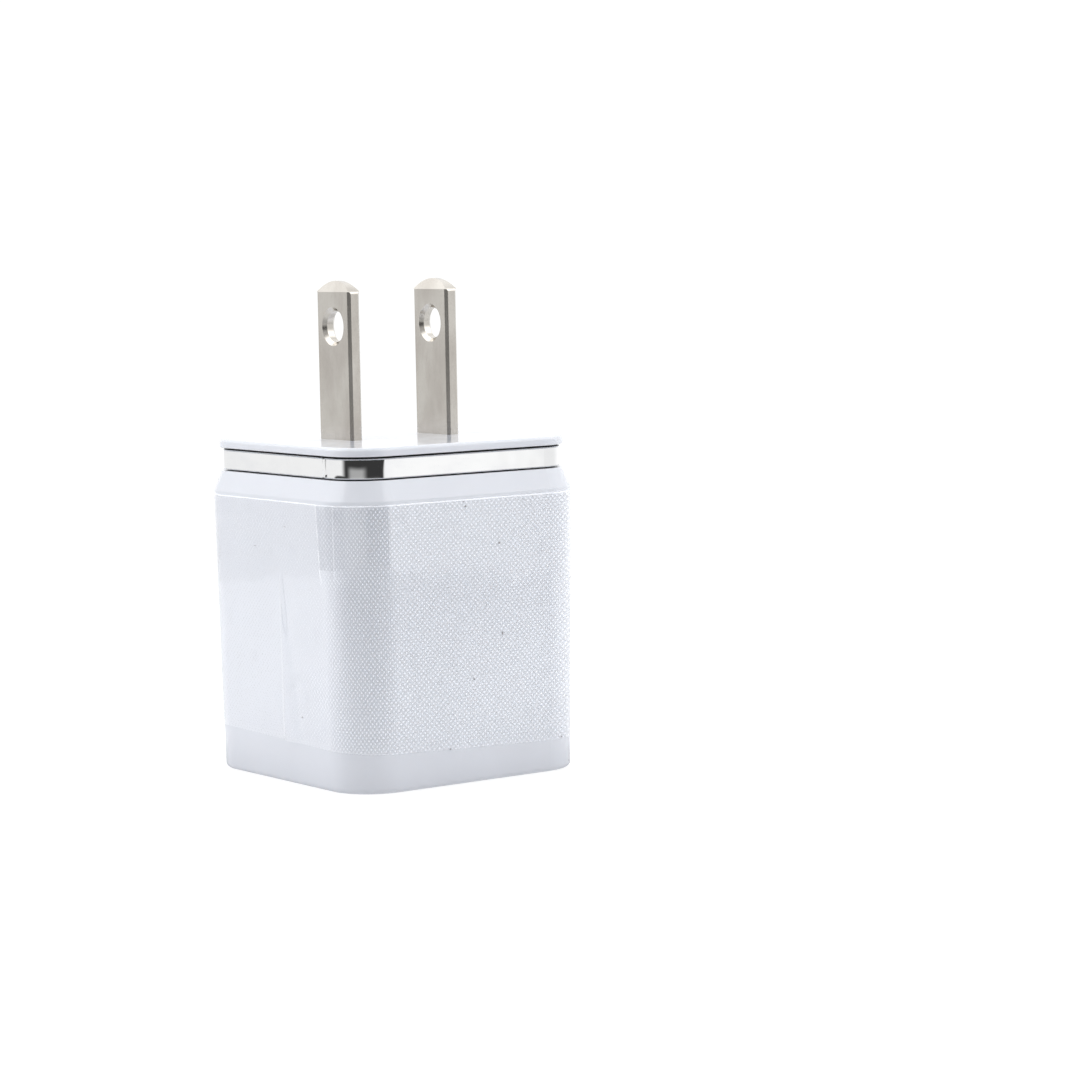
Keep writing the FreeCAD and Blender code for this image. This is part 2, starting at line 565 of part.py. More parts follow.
def transformer_sizes():
    """Half widths of the bobbin's bore and tube, and half the height between its flanges."""
    bore_x, bore_y = CORE_CENTRE_LEG / 2 + BOBBIN_GAP, CORE_DEPTH / 2 + BOBBIN_GAP
    tube_x, tube_y = bore_x + BOBBIN_WALL, bore_y + BOBBIN_WALL
    flange_z = CORE_HALF_HEIGHT - CORE_BACK - BOBBIN_GAP
    return bore_x, bore_y, tube_x, tube_y, flange_z


def pin_rows():
    """Places of the transformer's pins, as (x, z)."""
    rail = CORE_HALF_HEIGHT - CORE_BACK / 2
    return [(CORE_X + TRANSFORMER_PIN_PITCH * (i - 1.5), CORE_Z + way * rail)
            for way in (-1, 1) for i in range(4)]


def transformer_bobbin():
    """The plastic former: a tube with two flanges and a pin rail under each."""
    bore_x, bore_y, tube_x, tube_y, flange_z = transformer_sizes()
    pieces = [block(CORE_X - tube_x, CORE_X + tube_x, CORE_Y - tube_y, CORE_Y + tube_y,
                    CORE_Z - flange_z, CORE_Z + flange_z)]
    flange_x = CORE_WIDTH / 2 - CORE_OUTER_LEG - BOBBIN_GAP
    flange_y = tube_y + WINDING_BUILD + BOBBIN_FLANGE
    for way in (-1, 1):
        inner, outer = CORE_Z + way * (flange_z - BOBBIN_WALL), CORE_Z + way * flange_z
        pieces.append(block(CORE_X - flange_x, CORE_X + flange_x,
                            CORE_Y - flange_y, CORE_Y + flange_y, inner, outer))
        pieces.append(block(CORE_X - RAIL_HALF_X, CORE_X + RAIL_HALF_X, BOARD_TOP_Y + BOBBIN_FLANGE,
                            CORE_Y - CORE_DEPTH / 2 - BOBBIN_GAP, inner, CORE_Z + way * CORE_HALF_HEIGHT))
    bore = block(CORE_X - bore_x, CORE_X + bore_x, CORE_Y - bore_y, CORE_Y + bore_y,
                 CORE_Z - CORE_HALF_HEIGHT, CORE_Z + CORE_HALF_HEIGHT)
    return joined(pieces).cut([bore] + transformer_pins())


def transformer_pins():
    """Eight round pins from the bobbin's rails through the board."""
    top = BOARD_TOP_Y + TRANSFORMER_PIN_DEPTH
    return [Part.makeCylinder(TRANSFORMER_PIN_R, top - PIN_END_Y, V(x, PIN_END_Y, z), V(0, 1, 0))
            for x, z in pin_rows()]


def winding_prism(build, radius):
    """A rounded block between the bobbin's flanges, standing out from its tube by build."""
    _, _, tube_x, tube_y, flange_z = transformer_sizes()
    half_z = flange_z - BOBBIN_WALL - FIT_GAP / 2
    return rounded_prism(2 * (tube_x + build), 2 * (tube_y + build), radius,
                         CORE_Z - half_z, CORE_Z + half_z, (CORE_X, CORE_Y))


def transformer_winding():
    """The copper wound on the bobbin."""
    _, _, tube_x, tube_y, flange_z = transformer_sizes()
    tube = block(CORE_X - tube_x, CORE_X + tube_x, CORE_Y - tube_y, CORE_Y + tube_y,
                 CORE_Z - flange_z, CORE_Z + flange_z)
    return winding_prism(WINDING_BUILD, WINDING_R).cut(tube)


def transformer_tape():
    """The yellow tape over the winding."""
    outer = winding_prism(WINDING_BUILD + TAPE_THICKNESS, WINDING_R + TAPE_THICKNESS)
    return outer.cut(winding_prism(WINDING_BUILD, WINDING_R))


def core_tape():
    """The tape that straps the two core halves together."""
    half_x, half_z = CORE_WIDTH / 2, CORE_HALF_HEIGHT
    y0, y1 = CORE_Y - CORE_TAPE_WIDTH / 2, CORE_Y + CORE_TAPE_WIDTH / 2
    tape = block(CORE_X - half_x - TAPE_THICKNESS, CORE_X + half_x + TAPE_THICKNESS, y0, y1,
                 CORE_Z - half_z - TAPE_THICKNESS, CORE_Z + half_z + TAPE_THICKNESS)
    return tape.cut(block(CORE_X - half_x, CORE_X + half_x, y0, y1, CORE_Z - half_z, CORE_Z + half_z))


# ---- capacitors and small parts -----------------------------------------------------------
def capacitor_can(x, z, radius, height):
    """An aluminium can standing on the board, with the groove pressed in near its seal."""
    foot = BOARD_TOP_Y + CAP_STANDOFF
    can = Part.makeCylinder(radius - SLEEVE, height - 2 * CAP_SEAL, V(x, foot + CAP_SEAL, z), V(0, 1, 0))
    can = can.makeFillet(CAP_ROLL_R, edges_at(can, "y", foot + height - CAP_SEAL))
    groove_ring = radius - SLEEVE + CAP_GROOVE_R - CAP_GROOVE_DEPTH
    groove = Part.makeTorus(groove_ring, CAP_GROOVE_R, V(x, foot + CAP_GROOVE_HEIGHT, z), V(0, 1, 0))
    return can.cut(groove)


def capacitor_sleeve(x, z, radius, height):
    """The shrunk plastic sleeve, open in a round window at the can's top."""
    foot = BOARD_TOP_Y + CAP_STANDOFF
    sleeve = Part.makeCylinder(radius, height, V(x, foot, z), V(0, 1, 0))
    inside = Part.makeCylinder(radius - SLEEVE, height - 2 * CAP_SEAL, V(x, foot + CAP_SEAL, z), V(0, 1, 0))
    sleeve = sleeve.makeFillet(SLEEVE_ROLL_R, edges_at(sleeve, "y", foot + height))
    window = Part.makeCylinder(radius - SLEEVE_WINDOW, 2, V(x, foot + height - 1, z), V(0, 1, 0))
    under = Part.makeCylinder(radius - SLEEVE_HEM, 2, V(x, foot - 1, z), V(0, 1, 0))
    return sleeve.cut([inside, window, under])


def capacitor_leads(x, z, spacing):
    """Two leads from a capacitor's seal through the board."""
    length = BOARD_TOP_Y + CAP_STANDOFF + CAP_SEAL - PIN_END_Y
    return [Part.makeCylinder(CAP_LEAD_R, length, V(x + side * spacing / 2, PIN_END_Y, z), V(0, 1, 0))
            for side in (-1, 1)]


def chip(x, z, size_x, size_z, height, chamfer=PACKAGE_EDGE, standoff=CHIP_STANDOFF):
    """A flat package soldered under the board."""
    high = BOARD_LOW_Y - standoff
    low = high - height
    body = block(x - size_x / 2, x + size_x / 2, low, high, z - size_z / 2, z + size_z / 2)
    return body.makeChamfer(chamfer, edges_at(body, "y", low))


def gull_leg(edge, side, z):
    """One bent leg from the side of a flat package down to the board."""
    foot = -LEG_SHEET / 2
    path = [(0, -LEG_DROP), (LEG_REACH * 0.4, -LEG_DROP), (LEG_REACH * 0.55, foot), (LEG_REACH, foot)]
    return strip(path, LEG_SHEET, lambda u, v: (edge + side * u, BOARD_LOW_Y + v, z - LEG_WIDTH / 2),
                 (0, 0, LEG_WIDTH))


def gull_legs(package, legs):
    """Two rows of legs, along Z, on the sides of a flat package."""
    return [gull_leg(package["x"] + side * package["size_x"] / 2, side,
                     package["z"] + (i - (legs["count"] - 1) / 2) * legs["pitch"])
            for side in (-1, 1) for i in range(legs["count"])]


def safety_capacitor():
    """The blue disc capacitor that bridges the two sides of the supply."""
    low = PIN_END_Y - FIT_GAP - SAFETY_CAP_THICKNESS
    disc = Part.makeCylinder(SAFETY_CAP_R, SAFETY_CAP_THICKNESS, V(SAFETY_CAP_X, low, SAFETY_CAP_Z), V(0, 1, 0))
    disc = disc.makeFillet(SAFETY_CAP_ROUND * SAFETY_CAP_THICKNESS, round_edges(disc))
    start = low + SAFETY_CAP_THICKNESS / 2
    leads = [Part.makeCylinder(RESISTOR_LEAD_R, BOARD_TOP_Y + SOLDER_MARGIN - start,
                               V(SAFETY_CAP_X + side * SAFETY_CAP_LEADS / 2, start, SAFETY_CAP_Z), V(0, 1, 0))
             for side in (-1, 1)]
    return disc, [lead.cut(disc) for lead in leads]


def fusible_resistor():
    """An axial resistor lying under the board, with its bent leads."""
    y = BOARD_LOW_Y - SOLDER_MARGIN - RESISTOR_R
    body = Part.makeCylinder(RESISTOR_R, RESISTOR_LENGTH, V(RESISTOR_X - RESISTOR_LENGTH / 2, y, RESISTOR_Z),
                             V(1, 0, 0))
    body = body.makeFillet(RESISTOR_R / 3, round_edges(body))
    waist = Part.makeTorus(RESISTOR_WAIST, RESISTOR_WAIST_R, V(RESISTOR_X, y, RESISTOR_Z), V(1, 0, 0))
    body = body.cut(waist)
    leads = []
    for side in (-1, 1):
        start = RESISTOR_X + side * RESISTOR_LENGTH / 2
        bend = V(start + side * RESISTOR_LEAD_RUN, y, RESISTOR_Z)
        run = Part.makeCylinder(RESISTOR_LEAD_R, RESISTOR_LEAD_RUN, V(start, y, RESISTOR_Z), V(side, 0, 0))
        rise = Part.makeCylinder(RESISTOR_LEAD_R, BOARD_TOP_Y + SOLDER_MARGIN - y, bend, V(0, 1, 0))
        leads.append(joined([run, Part.makeSphere(RESISTOR_LEAD_R, bend), rise]))
    return body, leads


def chip_parts():
    """Chip resistors and capacitors under the board, as separate solids."""
    return [chip(x, z, CHIP_SIZE_X, CHIP_SIZE_Z, CHIP_HEIGHT, CHIP_EDGE, 0) for x, z in CHIP_PLACES]


def insulating_sheet():
    """The thin sheet between the board's solder side and the shell."""
    wall = -CAVITY_SIDE / 2
    return block(-SHEET_HALF_X, SHEET_HALF_X, wall, wall + SHEET_THICKNESS, FACE_WALL + FIT_GAP, BOARD_NECK_Z)


def main_board(through):
    """The circuit board, with a hole for everything that goes through it."""
    outline = [(-BOARD_HALF_X, BOARD_Z), (BOARD_HALF_X, BOARD_Z), (BOARD_HALF_X, BOARD_NECK_Z),
               (BOARD_NECK_HALF_X, BOARD_NECK_Z), (BOARD_NECK_HALF_X, BOARD_END_Z),
               (-BOARD_NECK_HALF_X, BOARD_END_Z), (-BOARD_NECK_HALF_X, BOARD_NECK_Z),
               (-BOARD_HALF_X, BOARD_NECK_Z)]
    board = plate_from([(x, BOARD_LOW_Y, z) for x, z in outline], (0, BOARD_THICKNESS, 0))
    holes = []
    for piece in through:
        b = piece.common(board).BoundBox
        holes.append(block(b.XMin - HOLE_GAP, b.XMax + HOLE_GAP, BOARD_LOW_Y, BOARD_TOP_Y,
                           b.ZMin - HOLE_GAP, b.ZMax + HOLE_GAP))
    return board.cut(holes)


def solder_joints(through):
    """A fillet of solder around each lead, under the board."""
    under = block(-BOARD_HALF_X, BOARD_HALF_X, PIN_END_Y, BOARD_LOW_Y, BOARD_Z, BOARD_END_Z)
    joints = []
    for piece in through:
        b = piece.common(under).BoundBox
        radius = max(b.XLength, b.ZLength) / 2 + SOLDER_MARGIN
        middle = V(b.Center.x, BOARD_LOW_Y, b.Center.z)
        cone = Part.makeCone(radius, radius / 2, SOLDER_HEIGHT, middle, V(0, -1, 0))
        joints.append(cone.cut(piece))
    return joints


# ---- assembly -----------------------------------------------------------------------------
def capacitors():
    """The two electrolytic capacitors, each as a can and a sleeve."""
    sizes = {"input": (INPUT_CAP_X, INPUT_CAP_Z, INPUT_CAP_R, INPUT_CAP_HEIGHT),
             "output": (OUTPUT_CAP_X, OUTPUT_CAP_Z, OUTPUT_CAP_R, OUTPUT_CAP_HEIGHT)}
    nodes = {}
    for side, size in sizes.items():
        nodes[f"{side}_capacitor_can"] = capacitor_can(*size)
        nodes[f"{side}_capacitor_sleeve"] = capacitor_sleeve(*size)
    return nodes


def build():
    """Every node of the charger, by name."""
    live, neutral = blade(-BLADE_SPACING / 2), blade(BLADE_SPACING / 2)
    pins_1, pins_2 = contact_pins(1), contact_pins(2)
    transformer = transformer_pins()
    input_leads = capacitor_leads(INPUT_CAP_X, INPUT_CAP_Z, INPUT_CAP_LEADS)
    output_leads = capacitor_leads(OUTPUT_CAP_X, OUTPUT_CAP_Z, OUTPUT_CAP_LEADS)
    disc, disc_leads = safety_capacitor()
    resistor, resistor_leads = fusible_resistor()
    can = connector_can()
    can_tabs = [can.common(block(side * (PORT_WIDTH / 2 - SHEET), side * (PORT_WIDTH / 2 + 2 * SHEET),
                                 PIN_END_Y, BOARD_TOP_Y, z - PORT_HEIGHT / 2, z + PORT_HEIGHT / 2))
                for side in (-1, 1) for z in TAB_Z]
    soldered = pins_1 + pins_2 + transformer + input_leads + output_leads + can_tabs
    through = soldered + disc_leads + resistor_leads

    nodes = {
        "main_shell": main_shell(),
        "trim_ring": trim_ring(),
        "rear_cover": rear_cover([live, neutral]),
        "protective_film": protective_film(),
        "live_blade": live,
        "neutral_blade": neutral,
        "live_blade_contact": blade_contact(-1),
        "neutral_blade_contact": blade_contact(1),
        "connector_can": can,
        "connector_divider": connector_divider(),
        "connector_insulator": connector_insulator(pins_1 + pins_2),
        "main_board": main_board(through),
        "solder_joints": group(solder_joints(soldered)),
        "transformer_core_lower": core_half(False),
        "transformer_core_upper": core_half(True),
        "transformer_bobbin": transformer_bobbin(),
        "transformer_winding": transformer_winding(),
        "transformer_tape": transformer_tape(),
        "core_tape": core_tape(),
        "transformer_pins": group(transformer),
        **capacitors(),
        "capacitor_leads": group(input_leads + output_leads),
        "bridge_rectifier": chip(**BRIDGE),
        "bridge_rectifier_legs": group(gull_legs(BRIDGE, BRIDGE_LEGS)),
        "controller_chip": chip(**CONTROLLER),
        "controller_chip_legs": group(gull_legs(CONTROLLER, CONTROLLER_LEGS)),
        "output_diode": chip(**DIODE),
        "output_diode_legs": group(gull_legs(DIODE, DIODE_LEGS)),
        "safety_capacitor": disc,
        "safety_capacitor_leads": group(disc_leads),
        "fusible_resistor": resistor,
        "fusible_resistor_leads": group(resistor_leads),
        "chip_parts": group(chip_parts()),
        "insulating_sheet": insulating_sheet(),
    }
    for port, pins in ((1, pins_1), (2, pins_2)):
        nodes[f"port_{port}_contact_pins"] = group(pins)
        nodes[f"port_{port}_contact_arms"] = group(contact_arms(port))
        nodes[f"port_{port}_outer_leaves"] = group(retention_leaves(port, True))
        nodes[f"port_{port}_inner_leaves"] = group(retention_leaves(port, False))
    return nodes


os.makedirs("parts", exist_ok=True)
for name, shape in build().items():
    shape.exportStep(f"parts/{name}.step")
    print(f"{name:26s} solids {len(shape.Solids):2d}  valid {shape.isValid()}  volume {shape.Volume:9.3f}")
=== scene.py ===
import json
import math

import bmesh
import bpy
from mathutils import Matrix, Vector, noise


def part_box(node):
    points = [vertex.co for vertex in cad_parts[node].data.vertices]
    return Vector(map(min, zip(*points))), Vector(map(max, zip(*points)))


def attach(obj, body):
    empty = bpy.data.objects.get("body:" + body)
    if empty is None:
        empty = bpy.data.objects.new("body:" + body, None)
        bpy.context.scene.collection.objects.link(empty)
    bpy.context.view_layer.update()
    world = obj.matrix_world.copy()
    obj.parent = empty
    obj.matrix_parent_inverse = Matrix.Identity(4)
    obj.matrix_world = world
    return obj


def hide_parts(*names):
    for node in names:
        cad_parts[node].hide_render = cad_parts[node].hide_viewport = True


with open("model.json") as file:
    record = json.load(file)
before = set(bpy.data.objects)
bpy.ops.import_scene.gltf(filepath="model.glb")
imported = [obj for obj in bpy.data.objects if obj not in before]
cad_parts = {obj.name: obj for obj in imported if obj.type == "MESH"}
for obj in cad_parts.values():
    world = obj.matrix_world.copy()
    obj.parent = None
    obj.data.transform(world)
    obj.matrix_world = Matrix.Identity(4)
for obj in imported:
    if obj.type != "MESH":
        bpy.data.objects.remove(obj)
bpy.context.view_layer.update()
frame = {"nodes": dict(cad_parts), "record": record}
NODES = frame["nodes"]
BODY = "charger"
MM = 0.001

# The charger's shape. What the frame's boxes give is read from them, and the rest repeats the CAD's sizes.
_, SHELL_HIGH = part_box("main_shell")
_, FILM_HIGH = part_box("protective_film")
_, RING_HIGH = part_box("trim_ring")
RING_HALF = RING_HIGH.x
RING_MIDDLE = 34.07 * MM
RING_CORNER_R = 4.4 * MM
CORNER_R = 5.3 * MM
BASE_HALF = 15.1 * MM
SHOULDER_HALF = SHELL_HIGH.x
SHOULDER_Z = 30.7 * MM
FILM_TOP = FILM_HIGH.z


# ---- node helpers -------------------------------------------------------------------------
class Nodes:
    """A short way to write a node tree: n("Type", input=value or socket, ...) returns the node."""

    def __init__(self, tree):
        self.tree = tree
        tree.nodes.clear()

    def __call__(self, kind, props=None, **inputs):
        node = self.tree.nodes.new("ShaderNode" + kind)
        for name, value in (props or {}).items():
            setattr(node, name, value)
        for name, value in inputs.items():
            self.feed(self.socket(node, name), value)
        return node

    @staticmethod
    def socket(node, name):
        """An input by its number (i0, i1, ...) or by its name with _ for spaces."""
        if name[0] == "i" and name[1:].isdigit():
            return node.inputs[int(name[1:])]
        wanted = name.replace("_", " ").lower()
        return next(s for s in node.inputs if s.name.lower() == wanted and s.enabled)

    def feed(self, socket, value):
        if isinstance(value, bpy.types.Node):
            value = value.outputs[0]
        if isinstance(value, bpy.types.NodeSocket):
            self.tree.links.new(value, socket)
        else:
            socket.default_value = value

    def math(self, operation, a, b=0.0, c=0.0, clamp=False):
        props = {"operation": operation, "use_clamp": clamp}
        return self("Math", props, i0=a, i1=b, i2=c).outputs[0]

    def ramp(self, value, low, high, to_low=0.0, to_high=1.0):
        """value from low..high to to_low..to_high along an S, held at its ends. low may be above high."""
        props = {"interpolation_type": "SMOOTHSTEP"}
        return self("MapRange", props, i0=value, i1=low, i2=high, i3=to_low, i4=to_high).outputs[0]

    def mix(self, share, a, b):
        """Colours a and b mixed by share."""
        node = self("Mix", {"data_type": "RGBA"})
        self.feed(node.inputs[0], share)
        self.feed(node.inputs[6], a)
        self.feed(node.inputs[7], b)
        return node.outputs[2]

    def place(self, scale=1.0):
        """Object coordinates in millimetres, times scale."""
        size = scale / MM
        where = self("TexCoord").outputs["Object"]
        return self("Mapping", None, Vector=where, Scale=(size, size, size)).outputs[0]

    def noise(self, scale, detail=2.0, stretch=(1, 1, 1)):
        """Noise with about `scale` cells a millimetre, from 0 to 1."""
        where = self("Mapping", None, Vector=self.place(), Scale=stretch)
        return self("TexNoise", None, Vector=where, Scale=scale, Detail=detail).outputs[0]

    def specks(self, spacing, radius, share, seed=0.0):
        """1 in round specks of that radius, on a share of the cells that are spacing millimetres apart."""
        where = self("VectorMath", {"operation": "ADD"}, i0=self.place(), i1=(seed, seed, seed))
        cell = self("TexVoronoi", {"feature": "F1"}, Vector=where, Scale=1 / spacing)
        near = self.ramp(cell.outputs["Distance"], radius / spacing, 0.4 * radius / spacing)
        pick = self.math("LESS_THAN", self("SeparateColor", None, i0=cell.outputs["Color"]), share)
        return self.math("MULTIPLY", near, pick)

    def bump(self, height, distance, normal=None):
        """A bump whose full height is distance millimetres, on top of the bump `normal` if one is given."""
        node = self("Bump", None, Height=height, Distance=distance * MM, Strength=1.0)
        if normal is not None:
            self.feed(node.inputs["Normal"], normal)
        return node.outputs[0]


def material(name, make):
    """A new material whose surface is what make(nodes) returns."""
    mat = bpy.data.materials.new(name)
    mat.use_nodes = True
    n = Nodes(mat.node_tree)
    n("OutputMaterial", None, Surface=make(n))
    return mat


def shifted(colour, share):
    """A colour, lighter or darker by a share."""
    return tuple(min(1.0, c * (1 + share)) for c in colour[:3]) + (1.0,)


def plain(colour, roughness, metallic, grain, spread, relief):
    """A maker for surfaces of one colour with fine variation in tone, roughness and height.

    grain is in cells a millimetre, spread a share of the colour, and relief in millimetres.
    """
    def make(n):
        field = n.noise(grain, 4.0)
        wide = n.noise(grain / 12, 2.0)
        share = n.math("MULTIPLY", n.math("ADD", field, wide), 0.5, clamp=True)
        tone = n.mix(share, shifted(colour, -spread), shifted(colour, spread))
        rough = n.ramp(wide, 0.3, 0.7, 0.85 * roughness, 1.15 * roughness)
        return n("BsdfPrincipled", None, Base_Color=tone, Roughness=rough, Metallic=metallic,
                 Normal=n.bump(field, relief))
    return make


# ---- materials ----------------------------------------------------------------------------
WHITE = (0.81, 0.83, 0.885)
SPECK = (0.06, 0.05, 0.05)


def white_plastic(n):
    """Glossy moulded white, faintly cool, with flow variation, dust specks and a light orange peel."""
    flow = n.noise(0.12, 3.0, (1, 1, 0.4))
    tone = n.mix(n.ramp(flow, 0.3, 0.7), shifted(WHITE, -0.012), shifted(WHITE, 0.012))
    tone = n.mix(n.math("MULTIPLY", n.specks(2.6, 0.1, 0.05), 0.55), tone, (*SPECK, 1))
    peel = n.bump(n.noise(1.1, 2.0), 0.0012)
    rough = n.ramp(n.noise(0.5, 4.0), 0.35, 0.75, 0.09, 0.16)
    return n("BsdfPrincipled", None, Base_Color=tone, Roughness=rough, IOR=1.5, Normal=peel,
             Subsurface_Weight=0.12, Subsurface_Radius=(1.0, 0.9, 0.85), Subsurface_Scale=0.6 * MM)


def square_depth(n, half, radius):
    """Millimetres inwards from an upright square's round-cornered outline."""
    x, y, _ = n("SeparateXYZ", None, i0=n.place()).outputs
    reach = half - radius
    dx = n.math("MAXIMUM", n.math("SUBTRACT", n.math("ABSOLUTE", x), reach), 0.0)
    dy = n.math("MAXIMUM", n.math("SUBTRACT", n.math("ABSOLUTE", y), reach), 0.0)
    corner = n.math("SQRT", n.math("ADD", n.math("MULTIPLY", dx, dx), n.math("MULTIPLY", dy, dy)))
    return n.math("SUBTRACT", radius, corner)


# The ring's front corner, in millimetres: a ridge on -X before the bend, and a crowned face in the bend.
SIDE_START, SIDE_FULL = -13.0, -14.0
RIDGE_Y, RIDGE_HALF, RIDGE_WANDER = -8.6, 0.45, 0.8
BEND_START, BEND_FULL = -10.4, -11.4
CROWN_Z = RING_MIDDLE / MM - 0.5
CROWN_FALL = -0.14
RIPPLE_HEIGHT = 0.13


def corner_ripple(n):
    """Where the ring is pressed round its front corner: a ridge before the bend and a crowned face in it."""
    x, y, z = n("SeparateXYZ", None, i0=n.place()).outputs
    on_side = n.ramp(x, SIDE_START, SIDE_FULL)
    wander = n.math("MULTIPLY", n.noise(0.5, 0.0), RIDGE_WANDER)
    away = n.math("ABSOLUTE", n.math("SUBTRACT", n.math("ADD", y, wander), RIDGE_Y))
    ridge = n.math("MULTIPLY", on_side, n.ramp(away, RIDGE_HALF, 0.0))
    bend = n.math("MULTIPLY", n.ramp(x, BEND_START, BEND_FULL), n.ramp(y, BEND_START, BEND_FULL))
    crown = n.math("MULTIPLY", n.math("POWER", n.math("SUBTRACT", z, CROWN_Z), 2.0), CROWN_FALL)
    return n.math("ADD", ridge, n.math("MULTIPLY", bend, crown))


def chrome_trim(n):
    """Bright silver plating with a trace of waviness and dust. Its recessed lip, in the narrow gaps above and
    below the ring, is painted near black, matt and not metallic, as painted shade of those gaps.
    """
    smear = n.noise(0.25, 3.0, (1, 1, 2.5))
    bright = n.mix(n.ramp(smear, 0.35, 0.75), (0.97, 0.97, 0.96, 1), (0.92, 0.92, 0.92, 1))
    bright = n.mix(n.specks(2.0, 0.07, 0.1, 7.0), bright, (0.12, 0.11, 0.1, 1))
    # painted shade: more than 0.16 mm in from the ring's outline the plating is painted near black for the
    # shade in the gaps
    shaded_lip = n.ramp(square_depth(n, RING_HALF / MM, RING_CORNER_R / MM), 0.1, 0.16)
    tone = n.mix(shaded_lip, bright, (0.02, 0.02, 0.02, 1))
    rough = n.math("ADD", n.ramp(smear, 0.35, 0.8, 0.02, 0.05), n.math("MULTIPLY", shaded_lip, 0.5))
    relief = n.bump(n.noise(0.3, 1.0), 0.02)
    return n("BsdfPrincipled", None, Base_Color=tone, Metallic=n.math("SUBTRACT", 1.0, shaded_lip), Roughness=rough,
             Normal=n.bump(corner_ripple(n), RIPPLE_HEIGHT, relief))


def nickel_plate(n):
    """Satin nickel over stamped brass: cloudy, faintly drawn along the blade, with a few pits."""
    cloud = n.noise(0.3, 4.0, (1, 1, 0.5))
    fine = n.noise(4.0, 3.0)
    drawn = n.noise(7.0, 2.0, (1, 1, 0.04))
    tone = n.mix(n.ramp(cloud, 0.3, 0.7), (0.63, 0.6, 0.55, 1), (0.52, 0.485, 0.44, 1))
    tone = n.mix(n.math("MULTIPLY", n.ramp(fine, 0.5, 0.8), 0.15), tone, (0.42, 0.39, 0.36, 1))
    tone = n.mix(n.math("MULTIPLY", n.specks(1.9, 0.1, 0.1, 3.0), 0.45), tone, (0.2, 0.18, 0.16, 1))
    grain = n.math("ADD", n.math("MULTIPLY", drawn, 0.6), n.math("MULTIPLY", fine, 0.4))
    rough = n.ramp(grain, 0.3, 0.7, 0.17, 0.27)
    return n("BsdfPrincipled", None, Base_Color=tone, Metallic=1.0, Roughness=rough,
             Normal=n.bump(grain, 0.0007))


DOT_PERIOD = 0.6        # millimetres along the level; the rows of pressed dots are half of it apart
FACE_FROM = -14.0       # millimetres: an x or y below this is on the film's -X or -Y side
# Dust under the film: the place along the side, the height, half the speck's height and half its width.
DUST = ((3.2, 25.4, 0.16, 0.07), (-1.15, 29.6, 0.1, 0.1), (-1.4, 30.1, 0.07, 0.07),
        (-0.3, 11.1, 0.09, 0.09), (-3.5, 3.9, 0.1, 0.13), (11.5, 3.6, 0.1, 0.1), (3.5, 15.7, 0.28, 0.05))
SIDE_DUST = ((-4.8, 7.4, 0.1, 0.1), (3.4, 25.2, 0.07, 0.07), (-2.6, 27.6, 0.06, 0.06))
FILM_IOR = 1.7
RIM_WIDTH, RIM_SOFT = 0.1, 0.08        # the cut edge at the film's top, and how far it fades below that


def dots_field(n):
    """1 on tiny dots in slanted rows and 0 between, by the distance round the body and the height."""
    where = n("SeparateXYZ", None, i0=n.place())
    around = n.math("SUBTRACT", where.outputs[0], where.outputs[1])
    turn = 2 * math.pi / DOT_PERIOD
    rising = n.math("SINE", n.math("MULTIPLY", n.math("ADD", around, where.outputs[2]), turn))
    falling = n.math("SINE", n.math("MULTIPLY", n.math("SUBTRACT", around, where.outputs[2]), turn))
    return n.ramp(n.math("ADD", rising, falling), 0.2, 1.8)


def dust_field(n):
    """1 on a few specks and a fibre that are caught under the film."""
    x, y, z = n("SeparateXYZ", None, i0=n.place()).outputs
    total = 0.0
    for across, front, marks in ((x, y, DUST), (y, x, SIDE_DUST)):
        near = n.math("LESS_THAN", front, FACE_FROM)
        for place, height, half_z, half_w in marks:
            u = n.math("DIVIDE", n.math("SUBTRACT", across, place), half_w)
            v = n.math("DIVIDE", n.math("SUBTRACT", z, height), half_z)
            lean = n.math("ADD", u, n.math("MULTIPLY", v, -0.6))
            spot = n.math("ADD", n.math("POWER", lean, 2.0), n.math("POWER", v, 2.0))
            total = n.math("MAXIMUM", total, n.math("MULTIPLY", near, n.ramp(spot, 1.0, 0.3)))
    return total


def clear_film(n):
    """Thin clear film: it shines and what is behind it shows, under a milky haze of pressed dots.

    The mirror share is that of both its surfaces together, and is left off where a ray meets the back.
    """
    dots = dots_field(n)
    relief = n.bump(n.noise(0.3, 2.0), 0.003)
    facing = n.math("SUBTRACT", 1.0, n("NewGeometry").outputs["Backfacing"])
    single = n("Fresnel", None, IOR=FILM_IOR, Normal=relief).outputs[0]
    both = n.math("DIVIDE", n.math("MULTIPLY", single, 2.0), n.math("ADD", single, 1.0))
    mirror = n.math("MULTIPLY", both, facing)
    glossy = n("BsdfGlossy", None, Color=(1, 1, 1, 1), Roughness=0.06, Normal=relief)
    mist = n.mix(dots, (0.0, 0.0, 0.0, 1), (0.12, 0.123, 0.13, 1))
    height = n("SeparateXYZ", None, i0=n.place()).outputs[2]
    rim = n.ramp(height, FILM_TOP / MM - RIM_WIDTH - RIM_SOFT, FILM_TOP / MM - RIM_WIDTH)
    haze = n("BsdfDiffuse", None, Color=n.mix(rim, mist, (0.13, 0.13, 0.13, 1)))
    smudge = n.math("MULTIPLY", n.ramp(n.noise(0.3, 4.0), 0.6, 0.8), 0.06)
    through = n("BsdfTransparent", None, Color=n.mix(smudge, (1, 1, 1, 1), (0.5, 0.5, 0.52, 1)))
    misted = n("AddShader", None, i0=through, i1=haze)
    dust = n("BsdfDiffuse", None, Color=(0.09, 0.07, 0.06, 1))
    dusty = n("MixShader", None, i0=n.math("MULTIPLY", dust_field(n), 0.7), i1=misted, i2=dust)
    return n("MixShader", None, i0=mirror, i1=dusty, i2=glossy)


